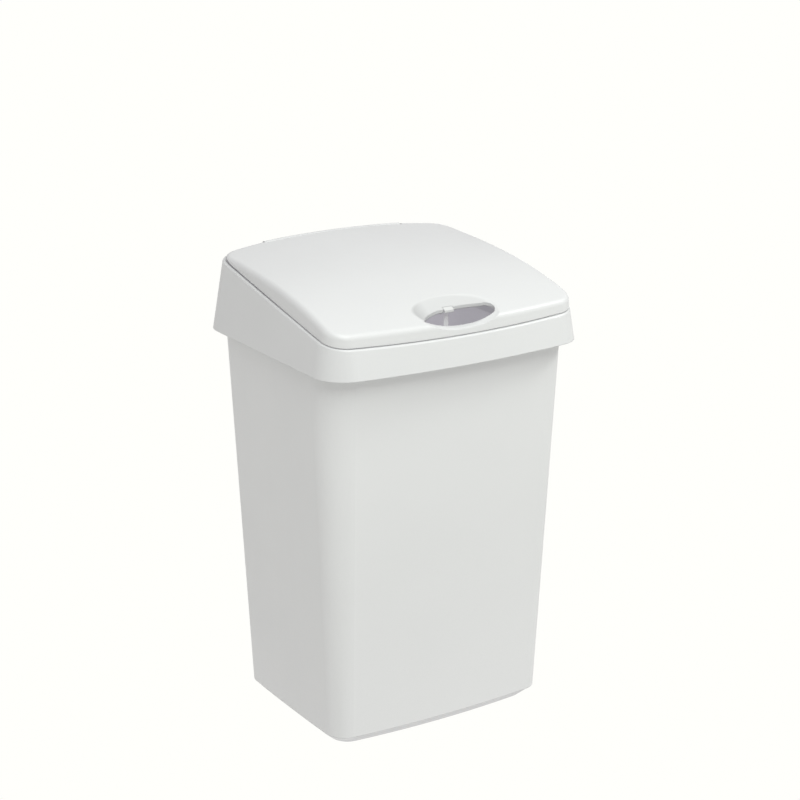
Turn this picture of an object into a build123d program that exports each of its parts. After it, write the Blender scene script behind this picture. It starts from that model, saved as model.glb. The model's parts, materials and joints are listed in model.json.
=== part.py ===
from build123d import *
import math
import os

os.makedirs("parts", exist_ok=True)

# A free-standing lift-lid waste bin in millimetres.
# Z is up, the front faces -Y, X runs across, and the origin is the centre of the underside.

# Collar: the lid frame that sits over the bucket's rim.
COLLAR_WIDTH = 380.0
COLLAR_DEPTH = 352.0
COLLAR_BOTTOM = 504.0
COLLAR_CORNER = 43.5
COLLAR_FRONT_BOW = 15.7
COLLAR_REAR_BOW = 12.0
COLLAR_SIDE_BOW = 0.6
COLLAR_DRAFT = math.tan(math.radians(8.8))
COLLAR_TOP_MIDDLE = 570.0
COLLAR_TOP_SLOPE = 0.179
COLLAR_WALL = 2.2
COLLAR_EDGE_RADIUS = 2.5
FUNNEL_INSET = 9.5
FUNNEL_BOTTOM = 498.0
FUNNEL_CLEARANCE = 3.0
ABOVE_COLLAR = 625.0

# Bucket.
BUCKET_TOP = 516.0
BUCKET_TOP_WIDTH = 365.0
BUCKET_TOP_DEPTH = 313.0
BUCKET_TOP_CORNER = 45.0
BUCKET_TOP_BOW = 16.0
BUCKET_LOW_WIDTH = 321.0
BUCKET_LOW_DEPTH = 254.5
BUCKET_LOW_CORNER = 26.0
BUCKET_LOW_BOW = 8.6
BUCKET_SIDE_BOW = 1.8
BUCKET_WALL = 2.4
BUCKET_FLOOR = 3.0
FOOT_WIDTH = 294.0
FOOT_DEPTH = 227.5
FOOT_CORNER = 24.0
FOOT_RING = 9.0
FOOT_RECESS = 3.0
BEVEL_TOP = 13.3
BEVEL_STEP = 0.6
BEVEL_CREASE = 7.2
BEVEL_CREASE_REACH = 8.2
RIM_REACH = 2.6
RIM_HEIGHT = 6.0

# Lid.
LID_INSET = 2.4
LID_DRAFT = 0.06
LID_WALL = 2.2
LID_GAP = 2.1
LID_GAP_GROWTH = 0.0060
LID_EDGE_RADIUS = 8.0
# Height of the lid's side edge at stations from front to rear, and the rise of its crown there.
LID_STATIONS = ((-200.0, 539.0), (-150.0, 559.0), (-100.0, 573.8), (-50.0, 584.4), (0.0, 591.3),
                (50.0, 595.6), (100.0, 598.3), (150.0, 600.2), (200.0, 601.5))
LID_HALF_WIDTH = 177.0
LID_CROWN_MIDDLE = 8.1
LID_CROWN_GROWTH = 0.021
LID_REAR_RELIEF_START = 104.0
LID_REAR_RELIEF_SLOPE = 0.27
BELOW_LID = 520.0
ABOVE_LID = 640.0

# Hinge at the rear of the lid.
HINGE_Y = 150.0
HINGE_Z = 603.0
RAIL_HALF_LENGTH = 104.5
RAIL_RADIUS_MIDDLE = 8.2
RAIL_RADIUS_END = 4.9
RAIL_WEB_FRONT = 146.5
RAIL_WEB_REAR = 156.5
LID_CUT_HALF_LENGTH = 106.0
LID_CUT_Y = 142.6
PIN_RADIUS = 2.0
PIN_DEPTH_IN_RAIL = 14.0
KNUCKLE_RADIUS = 3.9
KNUCKLE_LENGTH = 12.0
RUNNING_CLEARANCE = 0.06

# Finger scoop: a shallow dish in the lid's front. Its floor follows a curve from front to rear and
# rises towards both ends, faster near the front wall.
SCOOP_MIDDLE_X = 2.0
SCOOP_HALF_WIDTH = 54.0
SCOOP_REAR_Y = -111.0
SCOOP_FRONT_Y = -167.5
SCOOP_FRONT_Z = 548.2
SCOOP_SLOPE = 0.285
SCOOP_CURVE = 0.0038
SCOOP_END_RISE = 5.8
SCOOP_END_RISE_GROWTH = 5.2
SCOOP_END_POWER = 2.6
SCOOP_GRID = 6.0

# Finger opening in the scoop's floor: a drop shape with its point on the left. Each point of its
# outline is (x, y, the direction in degrees that leads out of the opening there).
OPENING_POINT = (-51.5, -154.0, 180.0)
OPENING_REAR_LEFT = (-30.0, -134.6, 120.0)
OPENING_REAR_MIDDLE = (-7.0, -129.4, 95.0)
OPENING_REAR_RIGHT = (20.0, -127.6, 90.0)
OPENING_END_REAR = (46.0, -132.8, 60.0)
OPENING_END = (56.8, -144.5, 0.0)
OPENING_END_FRONT = (50.0, -155.0, -60.0)
OPENING_FRONT = (2.0, -159.0, -90.0)
OPENING_POINT_RADIUS = 1.2
SKIRT_THICKNESS = 1.6
SKIRT_HEIGHT = 4.6
SKIRT_FRONT_Y = -151.0

# Catch tongue in the opening: a head flush with the scoop, on a stem that hangs inside.
CATCH_HEAD_WIDTH = 13.6
CATCH_HEAD_FRONT_Y = -131.6
CATCH_HEAD_REAR_Y = -126.2
CATCH_HEAD_BOTTOM = 559.9
CATCH_ARM_TOP = 562.5
CATCH_STEM_WIDTH = 6.6
CATCH_THICKNESS = 2.6
CATCH_PIVOT_Y = -123.5
CATCH_PIVOT_Z = 561.0
CATCH_BARREL_RADIUS = 2.4
CATCH_TRUNNION_RADIUS = 1.5
CATCH_BOTTOM = 527.0
CATCH_NOSE_HEIGHT = 4.0
CATCH_GAP = 0.4
NOSE_GAP = 1.0
EAR_THICKNESS = 2.4
EAR_DEPTH = 7.0
EAR_DROP = 2.8
LEDGE_HALF_WIDTH = 14.0
LEDGE_REAR_Y = -128.0
LEDGE_TOP = 531.5
LEDGE_THICKNESS = 3.0

# Ribs under the collar's top that rest on the bucket's rim.
RIB_THICKNESS = 2.0
RIB_INSET = 1.0
RIBS_ACROSS = (-110.0, -37.0, 37.0, 110.0)
RIBS_ALONG = (-90.0, -20.0, 50.0, 110.0)
TALL = 700.0


def outline(width, depth, corner, front_bow, rear_bow, side_bow, z):
    """A rounded rectangle with four bowed sides, as a flat face at height z."""
    x = width / 2 - side_bow
    y_front = -(depth / 2 - front_bow)
    y_rear = depth / 2 - rear_bow
    front = ThreePointArc((-x, y_front), (0, -depth / 2), (x, y_front))
    right = ThreePointArc((x, y_front), (width / 2, 0), (x, y_rear))
    rear = ThreePointArc((x, y_rear), (0, depth / 2), (-x, y_rear))
    left = ThreePointArc((-x, y_rear), (-width / 2, 0), (-x, y_front))
    face = make_face([front, right, rear, left])
    return Pos(0, 0, z) * fillet(face.vertices(), corner)


def collar_outline(inset, z):
    """The collar's outline at height z, moved in by its draft and a further inset."""
    shrink = 2 * (inset + COLLAR_DRAFT * (z - COLLAR_BOTTOM))
    corner = max(COLLAR_CORNER - shrink / 2, 8.0)
    return outline(COLLAR_WIDTH - shrink, COLLAR_DEPTH - shrink, corner,
                   COLLAR_FRONT_BOW, COLLAR_REAR_BOW, COLLAR_SIDE_BOW, z)


def collar_prism(inset, low, high):
    return loft([collar_outline(inset, low), collar_outline(inset, high)], ruled=True)


def below_slope(offset):
    """Everything under the collar's sloping top, raised by offset."""
    tilt = math.degrees(math.atan(COLLAR_TOP_SLOPE))
    block = Box(3 * COLLAR_WIDTH, 3 * COLLAR_WIDTH, TALL, align=(Align.CENTER, Align.CENTER, Align.MAX))
    return Pos(0, 0, COLLAR_TOP_MIDDLE + offset) * Rot(tilt, 0, 0) * block


def between(low, high, share):
    return low + (high - low) * share


def bucket_outline(grow, z):
    """The bucket's outline at height z between the bevel's top and the rim."""
    share = (z - BEVEL_TOP) / (BUCKET_TOP - BEVEL_TOP)
    bow = between(BUCKET_LOW_BOW, BUCKET_TOP_BOW, share)
    return outline(between(BUCKET_LOW_WIDTH, BUCKET_TOP_WIDTH, share) + 2 * grow,
                   between(BUCKET_LOW_DEPTH, BUCKET_TOP_DEPTH, share) + 2 * grow,
                   between(BUCKET_LOW_CORNER, BUCKET_TOP_CORNER, share) + grow,
                   bow, bow, between(BUCKET_SIDE_BOW, COLLAR_SIDE_BOW, share), z)


def foot_outline(grow, z):
    return outline(FOOT_WIDTH + 2 * grow, FOOT_DEPTH + 2 * grow, FOOT_CORNER + grow,
                   BUCKET_LOW_BOW, BUCKET_LOW_BOW, BUCKET_SIDE_BOW, z)


def bucket():
    wall = loft([bucket_outline(0, BEVEL_TOP), bucket_outline(0, BUCKET_TOP)], ruled=True)
    crease = foot_outline(BEVEL_CREASE_REACH, BEVEL_CREASE)
    upper_bevel = loft([crease, bucket_outline(-BEVEL_STEP, BEVEL_TOP)], ruled=True)
    lower_bevel = loft([foot_outline(0, 0), crease], ruled=True)
    rim_low = BUCKET_TOP - RIM_HEIGHT
    rim = loft([bucket_outline(RIM_REACH, rim_low), bucket_outline(RIM_REACH, BUCKET_TOP)], ruled=True)
    floor_top = FOOT_RECESS + BUCKET_FLOOR
    inside_crease = BEVEL_CREASE_REACH * floor_top / BEVEL_CREASE - 2 * BUCKET_WALL
    inner_foot = loft([foot_outline(inside_crease, floor_top), bucket_outline(-BUCKET_WALL, BEVEL_TOP + 2)],
                      ruled=True)
    inner_wall = loft([bucket_outline(-BUCKET_WALL, BEVEL_TOP + 2),
                       bucket_outline(-BUCKET_WALL, BUCKET_TOP + 1)], ruled=True)
    recess = extrude(foot_outline(-FOOT_RING, 0), FOOT_RECESS)
    return wall + upper_bevel + lower_bevel + rim - inner_foot - inner_wall - recess


def rim_ribs():
    """Short ribs under the collar's top that rest on the bucket's rim."""
    band = collar_prism(RIB_INSET, BUCKET_TOP, TALL)
    band = band - collar_prism(FUNNEL_INSET + RIB_INSET, BUCKET_TOP, TALL)
    planks = []
    for x in RIBS_ACROSS:
        planks.append(Pos(x, 0, BUCKET_TOP) * Box(RIB_THICKNESS, COLLAR_DEPTH, TALL,
                                                  align=(Align.CENTER, Align.CENTER, Align.MIN)))
    for y in RIBS_ALONG:
        planks.append(Pos(0, y, BUCKET_TOP) * Box(COLLAR_WIDTH, RIB_THICKNESS, TALL,
                                                  align=(Align.CENTER, Align.CENTER, Align.MIN)))
    ribs = Part() + [band & plank for plank in planks]
    return ribs & below_slope(-COLLAR_WALL / 2)


def rail_profile():
    """Half of the hinge barrel's section along its length, to be turned about the hinge line."""
    radius_end = RAIL_RADIUS_END
    top = ThreePointArc((-RAIL_HALF_LENGTH, radius_end), (0, RAIL_RADIUS_MIDDLE),
                        (RAIL_HALF_LENGTH, radius_end))
    sides = Polyline((RAIL_HALF_LENGTH, radius_end), (RAIL_HALF_LENGTH, 0), (-RAIL_HALF_LENGTH, 0),
                     (-RAIL_HALF_LENGTH, radius_end))
    return make_face([top, sides])


def hinge_rail():
    barrel = revolve(rail_profile(), Axis.X)
    web_height = HINGE_Z - COLLAR_TOP_MIDDLE - COLLAR_TOP_SLOPE * RAIL_WEB_FRONT + COLLAR_WALL
    web_depth = RAIL_WEB_REAR - RAIL_WEB_FRONT
    web = Box(2 * RAIL_HALF_LENGTH, web_depth, web_height, align=(Align.CENTER, Align.MIN, Align.MAX))
    return Pos(0, HINGE_Y, HINGE_Z) * barrel + Pos(0, RAIL_WEB_FRONT, HINGE_Z) * web


def pin_solid(side, radius):
    inner = RAIL_HALF_LENGTH - PIN_DEPTH_IN_RAIL
    outer = LID_CUT_HALF_LENGTH + KNUCKLE_LENGTH
    rod = Cylinder(radius, outer - inner, rotation=(0, 90, 0))
    return Pos(side * (inner + outer) / 2, HINGE_Y, HINGE_Z) * rod


def lid_frame():
    outer = collar_prism(0, COLLAR_BOTTOM, ABOVE_COLLAR) & below_slope(0)
    top_edges = outer.faces().sort_by(Axis.Z)[-1].outer_wire().edges()
    outer = fillet(top_edges, COLLAR_EDGE_RADIUS)
    skirt_inside = collar_prism(COLLAR_WALL, COLLAR_BOTTOM - 2, ABOVE_COLLAR) & below_slope(-COLLAR_WALL)
    funnel_shrink = BUCKET_WALL + FUNNEL_CLEARANCE
    funnel = loft([bucket_outline(-funnel_shrink, FUNNEL_BOTTOM),
                   collar_outline(FUNNEL_INSET, ABOVE_COLLAR)], ruled=True)
    bore = loft([bucket_outline(-funnel_shrink - COLLAR_WALL, FUNNEL_BOTTOM),
                 collar_outline(FUNNEL_INSET + COLLAR_WALL, ABOVE_COLLAR)], ruled=True)
    funnel_wall = (funnel & below_slope(-COLLAR_WALL / 2)) - bore
    shell = outer - (skirt_inside - funnel_wall) - bore + funnel_wall
    ledge = Pos(0, LEDGE_REAR_Y, LEDGE_TOP) * Box(2 * LEDGE_HALF_WIDTH, 40.0, LEDGE_THICKNESS,
                                                  align=(Align.CENTER, Align.MAX, Align.MAX))
    frame = shell + (rim_ribs() - funnel) + hinge_rail() + (ledge & funnel)
    for side in (-1, 1):
        frame = frame - pin_solid(side, PIN_RADIUS)
    return frame


def lid_top_block(drop):
    """Everything under the lid's domed top, lowered by drop."""
    rows = []
    for x in range(-200, 201, 50):
        row = []
        for y, edge in LID_STATIONS:
            crown = (LID_CROWN_MIDDLE + LID_CROWN_GROWTH * y) * (1 - (x / LID_HALF_WIDTH) ** 2)
            row.append((x, y, edge + crown - drop))
        rows.append(row)
    dome = Face.make_surface_from_array_of_points(rows, tol=0.02, min_deg=3, max_deg=5)
    return Solid.extrude(dome, Vector(0, 0, -150))


def slope_height(y):
    return COLLAR_TOP_MIDDLE + COLLAR_TOP_SLOPE * y


def lid_outline(inset, z):
    """The lid's plan at height z: it follows the collar's top edge, drawn in by its own gap and draft."""
    def drawn_in(y):
        collar_share = COLLAR_DRAFT * (slope_height(y) - COLLAR_BOTTOM)
        return collar_share + inset + LID_DRAFT * (z - slope_height(y))

    y_front = -(COLLAR_DEPTH / 2 - COLLAR_FRONT_BOW)
    y_rear = COLLAR_DEPTH / 2 - COLLAR_REAR_BOW
    x_corner = COLLAR_WIDTH / 2 - COLLAR_SIDE_BOW
    in_front = drawn_in(y_front)
    in_rear = drawn_in(y_rear)
    x_side = COLLAR_WIDTH / 2 - drawn_in(0)
    x_front = x_corner - in_front
    x_rear = x_corner - in_rear
    y_front += in_front
    y_rear -= in_rear
    front = ThreePointArc((-x_front, y_front), (0, y_front - COLLAR_FRONT_BOW), (x_front, y_front))
    right = ThreePointArc((x_front, y_front), (x_side, 0), (x_rear, y_rear))
    rear = ThreePointArc((x_rear, y_rear), (0, y_rear + COLLAR_REAR_BOW), (-x_rear, y_rear))
    left = ThreePointArc((-x_rear, y_rear), (-x_side, 0), (-x_front, y_front))
    face = make_face([front, right, rear, left])
    corner = COLLAR_CORNER - drawn_in(0) - inset
    return Pos(0, 0, z) * fillet(face.vertices(), corner)


def lid_block(inset, drop, edge_radius):
    """A solid lid: the plan's walls under the domed top, with a rounded top edge."""
    walls = loft([lid_outline(inset, BELOW_LID), lid_outline(inset, ABOVE_LID)], ruled=True)
    block = walls & lid_top_block(drop)
    top_edges = block.faces().sort_by(Axis.Z)[-1].outer_wire().edges()
    return fillet(top_edges, edge_radius)


def scoop_floor(x, y):
    """Height of the scoop's floor at x, y, before the lid's top trims it."""
    run = y - SCOOP_FRONT_Y
    middle = SCOOP_FRONT_Z + SCOOP_SLOPE * run + SCOOP_CURVE * run ** 2
    forward = max(0.0, (SCOOP_REAR_Y - y) / (SCOOP_REAR_Y - SCOOP_FRONT_Y))
    end_rise = SCOOP_END_RISE + SCOOP_END_RISE_GROWTH * forward ** 2.5
    return middle + end_rise * abs((x - SCOOP_MIDDLE_X) / SCOOP_HALF_WIDTH) ** SCOOP_END_POWER


def scoop_tool(lower):
    """Everything above the scoop's floor, lowered by a given amount."""
    columns = round(1.5 * SCOOP_HALF_WIDTH / SCOOP_GRID)
    rows = []
    for column in range(-columns, columns + 1):
        x = SCOOP_MIDDLE_X + column * SCOOP_GRID
        row = []
        for step in range(-3, 14):
            y = SCOOP_FRONT_Y + step * SCOOP_GRID
            row.append((x, y, scoop_floor(x, y) - lower))
        rows.append(row)
    floor = Face.make_surface_from_array_of_points(rows, tol=0.02, min_deg=3, max_deg=5)
    return Solid.extrude(floor, Vector(0, 0, 60))


def opening_outline(grow):
    """The finger opening's outline, moved outwards by grow."""
    def moved(place):
        x, y, direction = place
        angle = math.radians(direction)
        return (x + grow * math.cos(angle), y + grow * math.sin(angle))

    rear_middle = moved(OPENING_REAR_MIDDLE)
    end_rear = moved(OPENING_END_REAR)
    end_front = moved(OPENING_END_FRONT)
    point = moved(OPENING_POINT)
    rear_left = ThreePointArc(point, moved(OPENING_REAR_LEFT), rear_middle)
    rear_right = ThreePointArc(rear_middle, moved(OPENING_REAR_RIGHT), end_rear)
    end = ThreePointArc(end_rear, moved(OPENING_END), end_front)
    front = ThreePointArc(end_front, moved(OPENING_FRONT), point)
    face = make_face([rear_left, rear_right, end, front])
    return fillet(face.vertices().sort_by(Axis.X)[0], OPENING_POINT_RADIUS)


def opening_prism():
    """The finger opening, cut straight down."""
    return Pos(0, 0, LEDGE_TOP) * extrude(opening_outline(0), 100.0)


def opening_skirt():
    """The short wall that hangs from the opening's rear edge."""
    ring = opening_outline(SKIRT_THICKNESS) - opening_outline(0)
    wall = Pos(0, 0, LEDGE_TOP) * extrude(ring, 100.0)
    behind = Pos(0, SKIRT_FRONT_Y, LEDGE_TOP) * Box(4 * SCOOP_HALF_WIDTH, 100.0, 100.0,
                                                    align=(Align.CENTER, Align.MIN, Align.MIN))
    return (wall & behind & scoop_tool(SKIRT_HEIGHT)) - scoop_tool(LID_WALL / 2)


def catch_pocket():
    """The notch in the opening's rear edge that takes the catch tongue's head."""
    width = CATCH_HEAD_WIDTH + 2 * CATCH_GAP
    depth = CATCH_HEAD_REAR_Y + CATCH_GAP - CATCH_HEAD_FRONT_Y
    return Pos(0, CATCH_HEAD_FRONT_Y, LEDGE_TOP) * Box(width, depth, 100.0,
                                                       align=(Align.CENTER, Align.MIN, Align.MIN))


def knuckles(outer):
    """Two bored bosses under the lid's rear corners, just outside the rail's ends."""
    bosses = Part()
    for side in (-1, 1):
        middle = side * (LID_CUT_HALF_LENGTH + KNUCKLE_LENGTH / 2)
        boss = Cylinder(KNUCKLE_RADIUS, KNUCKLE_LENGTH, rotation=(0, 90, 0))
        web = Box(KNUCKLE_LENGTH, 2 * KNUCKLE_RADIUS, 12.0, align=(Align.CENTER, Align.CENTER, Align.MIN))
        bosses += Pos(middle, HINGE_Y, HINGE_Z) * (boss + web)
    return bosses & outer


def catch_ears(outer):
    """Two ears under the scoop that hold the catch tongue's trunnions."""
    ears = Part()
    for side in (-1, 1):
        middle = side * (CATCH_HEAD_WIDTH / 2 + CATCH_GAP + EAR_THICKNESS / 2)
        ear = Box(EAR_THICKNESS, EAR_DEPTH, 20.0, align=(Align.CENTER, Align.CENTER, Align.MIN))
        ears += Pos(middle, CATCH_PIVOT_Y, CATCH_PIVOT_Z - EAR_DROP) * ear
    return (ears & outer) - scoop_tool(LID_WALL / 2)


def trunnion_rod(radius, half_length):
    rod = Cylinder(radius, 2 * half_length, rotation=(0, 90, 0))
    return Pos(0, CATCH_PIVOT_Y, CATCH_PIVOT_Z) * rod


def lid_underside():
    """Everything below the lid's lower edge, whose gap to the collar widens towards the rear."""
    tilt = math.degrees(math.atan(COLLAR_TOP_SLOPE + LID_GAP_GROWTH))
    block = Box(3 * COLLAR_WIDTH, 3 * COLLAR_WIDTH, TALL, align=(Align.CENTER, Align.CENTER, Align.MAX))
    return Pos(0, 0, COLLAR_TOP_MIDDLE + LID_GAP) * Rot(tilt, 0, 0) * block


def rear_relief():
    """What is cut from the lid's wall so that its rear corners clear the collar as it swings."""
    block = Box(500, 200, 80, align=(Align.CENTER, Align.MIN, Align.MAX))
    tilt = math.degrees(math.atan(LID_REAR_RELIEF_SLOPE))
    start_height = slope_height(LID_REAR_RELIEF_START) + LID_GAP
    return Pos(0, LID_REAR_RELIEF_START, start_height) * Rot(tilt, 0, 0) * block


def lid_flap():
    outer = lid_block(LID_INSET, 0.0, LID_EDGE_RADIUS)
    inner = lid_block(LID_INSET + LID_WALL, LID_WALL, LID_EDGE_RADIUS - LID_WALL)
    hollow = inner - scoop_tool(LID_WALL)
    shell = outer - scoop_tool(0.0) - hollow
    shell = shell - lid_underside() - rear_relief() - opening_prism()
    shell = shell + opening_skirt() - catch_pocket()
    cut = Pos(0, LID_CUT_Y, HINGE_Z) * Box(2 * LID_CUT_HALF_LENGTH, 60, 60,
                                           align=(Align.CENTER, Align.MIN, Align.CENTER))
    lid = (shell - cut) + knuckles(outer) + catch_ears(outer)
    for side in (-1, 1):
        lid = lid - pin_solid(side, PIN_RADIUS + RUNNING_CLEARANCE)
    return lid - trunnion_rod(CATCH_TRUNNION_RADIUS + RUNNING_CLEARANCE, CATCH_HEAD_WIDTH)


def catch_tongue():
    head_depth = CATCH_HEAD_REAR_Y - CATCH_HEAD_FRONT_Y
    head = Pos(0, CATCH_HEAD_FRONT_Y, CATCH_HEAD_BOTTOM) * Box(CATCH_HEAD_WIDTH, head_depth, 12.0,
                                                               align=(Align.CENTER, Align.MIN, Align.MIN))
    head = head - scoop_tool(0.0)
    arm_depth = CATCH_PIVOT_Y - CATCH_HEAD_REAR_Y + 1.0
    arm = Pos(0, CATCH_PIVOT_Y, CATCH_HEAD_BOTTOM) * Box(CATCH_HEAD_WIDTH, arm_depth,
                                                         CATCH_ARM_TOP - CATCH_HEAD_BOTTOM,
                                                         align=(Align.CENTER, Align.MAX, Align.MIN))
    barrel = trunnion_rod(CATCH_BARREL_RADIUS, CATCH_HEAD_WIDTH / 2)
    trunnions = trunnion_rod(CATCH_TRUNNION_RADIUS, CATCH_HEAD_WIDTH / 2 + CATCH_GAP + EAR_THICKNESS)
    stem = Pos(0, CATCH_PIVOT_Y, CATCH_BOTTOM) * Box(CATCH_STEM_WIDTH, CATCH_THICKNESS,
                                                     CATCH_PIVOT_Z - CATCH_BOTTOM,
                                                     align=(Align.CENTER, Align.CENTER, Align.MIN))
    nose_depth = CATCH_PIVOT_Y - LEDGE_REAR_Y - NOSE_GAP
    nose = Pos(0, CATCH_PIVOT_Y, CATCH_BOTTOM) * Box(CATCH_STEM_WIDTH, nose_depth, CATCH_NOSE_HEIGHT,
                                                     align=(Align.CENTER, Align.MAX, Align.MIN))
    return head + arm + barrel + trunnions + stem + nose


if __name__ == "__main__":
    pieces = {
        "bucket": bucket(),
        "lid_frame": lid_frame(),
        "lid_flap": lid_flap(),
        "hinge_pin_left": pin_solid(-1, PIN_RADIUS),
        "hinge_pin_right": pin_solid(1, PIN_RADIUS),
        "catch_tongue": catch_tongue(),
    }
    for name, piece in pieces.items():
        export_step(piece, f"parts/{name}.step")
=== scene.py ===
import json
import math

import bpy
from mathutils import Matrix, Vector

# Lengths are in metres, in the same frame as the CAD model: +Z up, the front faces -Y.

# Camera: a long lens from the front left and a little above.
CAMERA_AZIMUTH = math.radians(-32.33)
CAMERA_ELEVATION = math.radians(17.44)
CAMERA_DISTANCE = 2.721
CAMERA_AIM_HEIGHT = 0.3325
CAMERA_SIDE_STEP = 0.0097
CAMERA_RISE = 0.0760
CAMERA_LENS = 93.0

# Studio: a dim room, a large softbox high in front, a small one at the right, and a glowing white table.
ROOM_COLOUR = (1.0, 0.945, 1.0)
ROOM_STRENGTH = 0.475
TABLE_HALF_WIDTH = 14.0
TABLE_COLOUR = (1.0, 1.0, 0.97)
TABLE_GLOW = 1.0
SOFTBOX_AIM = (0.0, 0.0, 0.45)
SOFTBOX_COLOUR = (0.97, 1.0, 0.97)
FRONT_PLACE = (-0.38, -1.34, 2.55)
FRONT_SIZE = (1.3, 2.4)
FRONT_POWER = 55.0
RIGHT_PLACE = (1.70, -0.76, 2.12)
RIGHT_SIZE = (0.45, 0.45)
RIGHT_POWER = 19.0

# Polypropylene: sizes are in metres and texture scales per metre. A pair of numbers is a range.
PLASTIC_IOR = 1.49
SHEEN = 0.04
SHEEN_ROUGHNESS = 0.4
PROBE_RAYS = 4
NOISE_SPAN = (0.3, 0.7)
NOISE_MIDDLE = (0.35, 0.65)

# Edges: a painted highlight (a paler colour) and polish (less roughness) where the softened normal leaves
# the face's own, told by the cosine between the two.
EDGE_ROUNDING = 0.0013
EDGE_ALIGNMENT = (0.995, 0.93)
EDGE_PATCH_SCALE = 160.0
EDGE_PATCHES = (0.2, 1.0)
EDGE_POLISH = 0.08

# Pigment: the shades are factors on the base colour. Shade is painted on the colour where a surface is less
# open.
CLOUD_SCALE = 5.0
CLOUD_SHADE = (0.985, 1.012)
SPECK_SCALE = 900.0
SPECK_SHADE = (0.99, 1.008)
CREVICE_OPENNESS = (0.3, 0.98)

# Gloss: additions to the roughness. Flow marks are stretched along the height.
SMUDGE_SCALE = 11.0
SMUDGE_ROUGHNESS = (-0.04, 0.05)
FLOW_STRETCH = (55.0, 55.0, 4.0)
FLOW_ROUGHNESS = (-0.025, 0.025)

# Relief, in units of the grain: a coarser noise and a slow waviness lie under it.
COARSE_GRAIN = 0.4
WAVE_SCALE = 24.0
WAVE_HEIGHT = 2.0

# Painted glow, standing in for light through the walls: full where a face is least open, gone where it is
# more open.
GLOW_COLOUR = (0.95, 0.90, 1.0)
GLOW_REACH = 0.6
GLOW_OPENNESS = (0.05, 0.35)

# Painted shade: the foot is grey up to FOOT_TOP, the finger dish within an oval, darkest at its left end.
FOOT_TOP = 0.0139
FOOT_SHADES = (0.66, 0.83)
DISH_MIDDLE = (-0.001, -0.1375)
DISH_HALF_SIZE = (0.057, 0.0275)
DISH_FADE = 0.82
DISH_LEFT_END = (-0.050, -0.030)
DISH_SHADE = 0.115
DISH_END_SHADE = 0.29


def add_camera():
    """The camera looks along azimuth and elevation. The side step and the rise shift it without a turn."""
    level = math.cos(CAMERA_ELEVATION)
    back = Vector((math.sin(CAMERA_AZIMUTH) * level, -math.cos(CAMERA_AZIMUTH) * level,
                   math.sin(CAMERA_ELEVATION)))
    right = Vector((math.cos(CAMERA_AZIMUTH), math.sin(CAMERA_AZIMUTH), 0.0))
    up = back.cross(right)
    data = bpy.data.cameras.new("camera")
    data.lens = CAMERA_LENS
    camera = bpy.data.objects.new("camera", data)
    camera.rotation_mode = "QUATERNION"
    camera.rotation_quaternion = (-back).to_track_quat("-Z", "Y")
    aim = Vector((0.0, 0.0, CAMERA_AIM_HEIGHT))
    camera.location = aim + CAMERA_SIDE_STEP * right + CAMERA_RISE * up + CAMERA_DISTANCE * back
    bpy.context.scene.collection.objects.link(camera)
    bpy.context.scene.camera = camera


def add_softbox(name, place, size, power):
    """An area light, turned to the point that all softboxes aim at."""
    data = bpy.data.lights.new(name, "AREA")
    data.shape = "RECTANGLE"
    data.size = size[0]
    data.size_y = size[1]
    data.energy = power
    data.color = SOFTBOX_COLOUR
    light = bpy.data.objects.new(name, data)
    light.location = place
    light.rotation_mode = "QUATERNION"
    light.rotation_quaternion = (Vector(SOFTBOX_AIM) - Vector(place)).to_track_quat("-Z", "Y")
    bpy.context.scene.collection.objects.link(light)


def add_room():
    """An even, dim light from all around."""
    world = bpy.data.worlds.new("studio")
    world.use_nodes = True
    background = world.node_tree.nodes["Background"]
    background.inputs["Color"].default_value = (*ROOM_COLOUR, 1.0)
    background.inputs["Strength"].default_value = ROOM_STRENGTH
    bpy.context.scene.world = world


def add_table():
    """A floor that glows evenly, so no shadow shows on it."""
    half = TABLE_HALF_WIDTH
    corners = [(-half, -half, 0), (half, -half, 0), (half, half, 0), (-half, half, 0)]
    mesh = bpy.data.meshes.new("table")
    mesh.from_pydata(corners, [], [(0, 1, 2, 3)])
    table = bpy.data.objects.new("table", mesh)
    bpy.context.scene.collection.objects.link(table)
    material = bpy.data.materials.new("table_white")
    material.use_nodes = True
    shader = material.node_tree.nodes["Principled BSDF"]
    shader.inputs["Base Color"].default_value = (0.0, 0.0, 0.0, 1.0)
    shader.inputs["Roughness"].default_value = 1.0
    shader.inputs["Specular IOR Level"].default_value = 0.0
    shader.inputs["Emission Color"].default_value = (*TABLE_COLOUR, 1.0)
    shader.inputs["Emission Strength"].default_value = TABLE_GLOW
    mesh.materials.append(material)


class Nodes:
    """A new material, with a short way to add shader nodes to it and join them."""

    def __init__(self, name):
        self.material = bpy.data.materials.new(name)
        self.material.use_nodes = True
        self.tree = self.material.node_tree
        self.shader = self.tree.nodes["Principled BSDF"]
        self.geometry = self.add("ShaderNodeNewGeometry")
        self.place = self.add("ShaderNodeTexCoord").outputs["Object"]

    def add(self, kind, **values):
        node = self.tree.nodes.new(kind)
        for name, value in values.items():
            setattr(node, name, value)
        return node

    def join(self, output, target):
        self.tree.links.new(output, target)

    def noise(self, place, scale, detail, roughness=0.5):
        node = self.add("ShaderNodeTexNoise")
        node.inputs["Scale"].default_value = scale
        node.inputs["Detail"].default_value = detail
        node.inputs["Roughness"].default_value = roughness
        self.join(place, node.inputs["Vector"])
        return node.outputs["Fac"]

    def spread(self, value, from_low, from_high, to_low, to_high):
        """Maps a value from one range to another, clamped."""
        node = self.add("ShaderNodeMapRange")
        for name, number in (("From Min", from_low), ("From Max", from_high),
                             ("To Min", to_low), ("To Max", to_high)):
            node.inputs[name].default_value = number
        self.join(value, node.inputs["Value"])
        return node.outputs["Result"]

    def maths(self, operation, first, second):
        node = self.add("ShaderNodeMath", operation=operation)
        for socket, value in zip(node.inputs, (first, second)):
            if isinstance(value, (int, float)):
                socket.default_value = value
            else:
                self.join(value, socket)
        return node.outputs["Value"]


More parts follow.
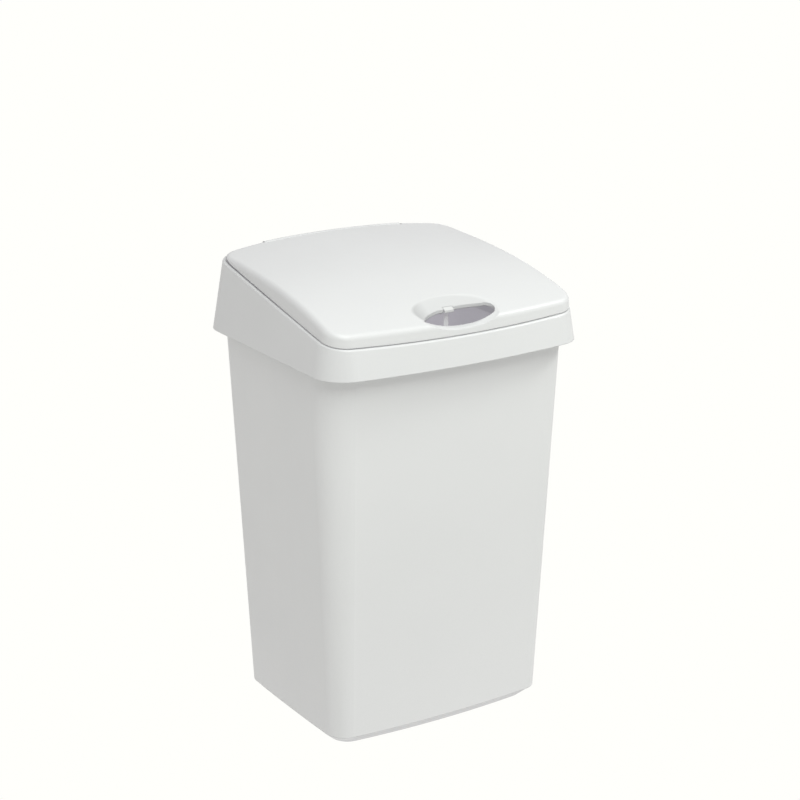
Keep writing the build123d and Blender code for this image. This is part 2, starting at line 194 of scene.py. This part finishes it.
def soften_edges(n):
    """Returns the rounded-off surface normal and a mask that is 1 on edges, where a highlight is painted
    and the surface is polished.
    """
    bevel = n.add("ShaderNodeBevel", samples=PROBE_RAYS)
    bevel.inputs["Radius"].default_value = EDGE_ROUNDING
    normal = bevel.outputs["Normal"]
    facing = n.add("ShaderNodeVectorMath", operation="DOT_PRODUCT")
    n.join(normal, facing.inputs[0])
    n.join(n.geometry.outputs["Normal"], facing.inputs[1])
    edge = n.spread(facing.outputs["Value"], *EDGE_ALIGNMENT, 0.0, 1.0)
    patches = n.spread(n.noise(n.place, EDGE_PATCH_SCALE, detail=3.0), *NOISE_MIDDLE, *EDGE_PATCHES)
    return normal, n.maths("MULTIPLY", edge, patches)


def openness(n, reach):
    """Returns 1 on a free surface and less where other surfaces are within reach."""
    occlusion = n.add("ShaderNodeAmbientOcclusion", samples=PROBE_RAYS)
    occlusion.inputs["Distance"].default_value = reach
    return occlusion.outputs["AO"]


def add_colour(n, look, edge_highlight_and_polish_mask):
    """Faint clouding and specks in the pigment, a painted highlight on the edges, painted shade in the
    crevices.
    """
    cloud = n.spread(n.noise(n.place, CLOUD_SCALE, detail=4.0), *NOISE_SPAN, *CLOUD_SHADE)
    speck = n.spread(n.noise(n.place, SPECK_SCALE, detail=2.0), *NOISE_SPAN, *SPECK_SHADE)
    # Painted shade: the colour is darker in crevices, gaps and recesses, where less light reaches.
    painted_crevice_shade = n.spread(openness(n, look["crevice_reach"]), *CREVICE_OPENNESS, look["crevice_shade"], 1.0)
    # Painted highlight: the colour is made paler along the edges.
    wear = n.spread(edge_highlight_and_polish_mask, 0.0, 1.0, 1.0, 1.0 + look["edge_wear"])
    shade = n.maths("MULTIPLY", n.maths("MULTIPLY", cloud, speck), n.maths("MULTIPLY", painted_crevice_shade, wear))
    colour = n.add("ShaderNodeVectorMath", operation="SCALE")
    colour.inputs[0].default_value = look["colour"]
    n.join(shade, colour.inputs["Scale"])
    n.join(colour.outputs["Vector"], n.shader.inputs["Base Color"])


def add_gloss(n, look, edge_highlight_and_polish_mask):
    """Smudges from handling, vertical flow marks, and edges polished by use."""
    flow_place = n.add("ShaderNodeMapping")
    flow_place.inputs["Scale"].default_value = FLOW_STRETCH
    n.join(n.place, flow_place.inputs["Vector"])
    flow_noise = n.noise(flow_place.outputs["Vector"], scale=1.0, detail=3.0)
    flow = n.spread(flow_noise, *NOISE_SPAN, *FLOW_ROUGHNESS)
    smudge_noise = n.noise(n.place, SMUDGE_SCALE, detail=6.0, roughness=0.6)
    smudge = n.spread(smudge_noise, *NOISE_MIDDLE, *SMUDGE_ROUGHNESS)
    handled = n.maths("ADD", n.maths("ADD", flow, smudge), look["roughness"])
    polished = n.maths("SUBTRACT", handled, n.maths("MULTIPLY", edge_highlight_and_polish_mask, EDGE_POLISH))
    n.join(polished, n.shader.inputs["Roughness"])
    n.shader.inputs["IOR"].default_value = PLASTIC_IOR
    n.shader.inputs["Sheen Weight"].default_value = SHEEN
    n.shader.inputs["Sheen Roughness"].default_value = SHEEN_ROUGHNESS


def add_relief(n, look, normal):
    """The moulded grain and a slight waviness, over the softened edges."""
    grain = n.add("ShaderNodeTexVoronoi", feature="SMOOTH_F1")
    grain.inputs["Scale"].default_value = 1.0 / look["grain_size"]
    n.join(n.place, grain.inputs["Vector"])
    coarse = n.noise(n.place, COARSE_GRAIN / look["grain_size"], detail=3.0)
    waves = n.maths("MULTIPLY", n.noise(n.place, WAVE_SCALE, detail=2.0), WAVE_HEIGHT)
    height = n.maths("ADD", n.maths("ADD", grain.outputs["Distance"], coarse), waves)
    bump = n.add("ShaderNodeBump")
    bump.inputs["Distance"].default_value = look["grain_depth"]
    n.join(height, bump.inputs["Height"])
    n.join(normal, bump.inputs["Normal"])
    n.join(bump.outputs["Normal"], n.shader.inputs["Normal"])


def add_painted_glow(n, look):
    """Painted glow (emission) that stands in for light the thin white walls let through to shut-in faces,
    strongest on those facing the front.
    """
    towards = n.add("ShaderNodeSeparateXYZ")
    n.join(n.geometry.outputs["Normal"], towards.inputs["Vector"])
    frontal = n.spread(towards.outputs["Y"], -1.0, 0.0, look["glow_ahead"], 1.0)
    shut_in = n.spread(openness(n, GLOW_REACH), *GLOW_OPENNESS, look["glow"], 0.0)
    # Painted light: the emission makes shut-in faces glow, more where they face the front.
    n.join(n.maths("MULTIPLY", shut_in, frontal), n.shader.inputs["Emission Strength"])
    n.shader.inputs["Emission Color"].default_value = (*GLOW_COLOUR, 1.0)


def plastic(name, **look):
    """White moulded polypropylene, with the look given as named values; returns its nodes."""
    n = Nodes(name)
    normal, edge_highlight_and_polish_mask = soften_edges(n)
    add_colour(n, look, edge_highlight_and_polish_mask)
    add_gloss(n, look, edge_highlight_and_polish_mask)
    add_relief(n, look, normal)
    add_painted_glow(n, look)
    return n


def darken(n, shade):
    """Multiplies a material's base colour by a value, to paint shade."""
    colour = n.shader.inputs["Base Color"]
    unshaded_colour = colour.links[0].from_socket
    shaded_colour = n.add("ShaderNodeVectorMath", operation="SCALE")
    n.join(unshaded_colour, shaded_colour.inputs[0])
    n.join(shade, shaded_colour.inputs["Scale"])
    n.join(shaded_colour.outputs["Vector"], colour)


def paint_foot_shade(n):
    """Paints shade on the foot: greyest at the floor, and plain above FOOT_TOP."""
    split = n.add("ShaderNodeSeparateXYZ")
    n.join(n.place, split.inputs["Vector"])
    # Painted shade near the floor.
    foot = n.spread(split.outputs["Z"], 0.0, FOOT_TOP, *FOOT_SHADES)
    above = n.maths("GREATER_THAN", split.outputs["Z"], FOOT_TOP)
    darken(n, n.maths("MAXIMUM", foot, above))


def paint_dish_shade(n):
    """Paints shade in the lid's finger dish, most of all at its left end."""
    split = n.add("ShaderNodeSeparateXYZ")
    n.join(n.place, split.inputs["Vector"])
    reach = []
    for axis, middle, half in zip("XY", DISH_MIDDLE, DISH_HALF_SIZE):
        offset = n.maths("DIVIDE", n.maths("SUBTRACT", split.outputs[axis], middle), half)
        reach.append(n.maths("MULTIPLY", offset, offset))
    inside = n.spread(n.maths("ADD", *reach), DISH_FADE, 1.0, 1.0, 0.0)
    # Painted shade in the dish, deepest at its left end.
    dish_shade_depth = n.spread(split.outputs["X"], *DISH_LEFT_END, DISH_END_SHADE, DISH_SHADE)
    darken(n, n.maths("SUBTRACT", 1.0, n.maths("MULTIPLY", inside, dish_shade_depth)))


def bucket_white():
    n = plastic("bucket_white", colour=(0.657, 0.668, 0.659), roughness=0.46,
                grain_size=0.0009, grain_depth=0.000022, edge_wear=0.06,
                crevice_reach=0.012, crevice_shade=0.88, glow=0.145, glow_ahead=1.5)
    paint_foot_shade(n)
    return n.material


def lid_white():
    n = plastic("lid_white", colour=(0.612, 0.623, 0.615), roughness=0.38,
                grain_size=0.0007, grain_depth=0.000010, edge_wear=0.09,
                crevice_reach=0.030, crevice_shade=0.91, glow=0.070, glow_ahead=3.5)
    paint_dish_shade(n)
    return n.material


def pin_white():
    n = plastic("pin_white", colour=(0.68, 0.68, 0.67), roughness=0.38,
                grain_size=0.0005, grain_depth=0.000008, edge_wear=0.05,
                crevice_reach=0.010, crevice_shade=0.85, glow=0.10, glow_ahead=1.5)
    return n.material


def catch_white():
    n = plastic("catch_white", colour=(0.59, 0.60, 0.59), roughness=0.34,
                grain_size=0.0005, grain_depth=0.000008, edge_wear=0.04,
                crevice_reach=0.010, crevice_shade=0.85, glow=0.26, glow_ahead=1.5)
    return n.material


def dress(frame):
    """Gives each CAD node the material of the slot that the record names for it."""
    makers = {"bucket_white": bucket_white, "lid_white": lid_white,
              "pin_white": pin_white, "catch_white": catch_white}
    made = {slot: maker() for slot, maker in makers.items()}
    for subpart in frame["record"]["subparts"]:
        node = frame["nodes"][subpart["node"]]
        node.data.materials.clear()
        node.data.materials.append(made[subpart["material_slot"]])


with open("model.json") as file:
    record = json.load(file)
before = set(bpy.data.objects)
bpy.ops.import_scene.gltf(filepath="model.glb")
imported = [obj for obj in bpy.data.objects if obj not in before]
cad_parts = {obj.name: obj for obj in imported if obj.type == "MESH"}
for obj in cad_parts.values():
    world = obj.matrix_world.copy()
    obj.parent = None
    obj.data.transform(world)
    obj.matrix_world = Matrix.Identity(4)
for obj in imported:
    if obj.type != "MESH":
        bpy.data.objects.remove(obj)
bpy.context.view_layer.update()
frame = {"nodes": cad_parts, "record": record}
add_camera()
bpy.context.scene.view_settings.view_transform = "Standard"
add_room()
add_softbox("front_softbox", FRONT_PLACE, FRONT_SIZE, FRONT_POWER)
add_softbox("right_softbox", RIGHT_PLACE, RIGHT_SIZE, RIGHT_POWER)
add_table()
dress(frame)
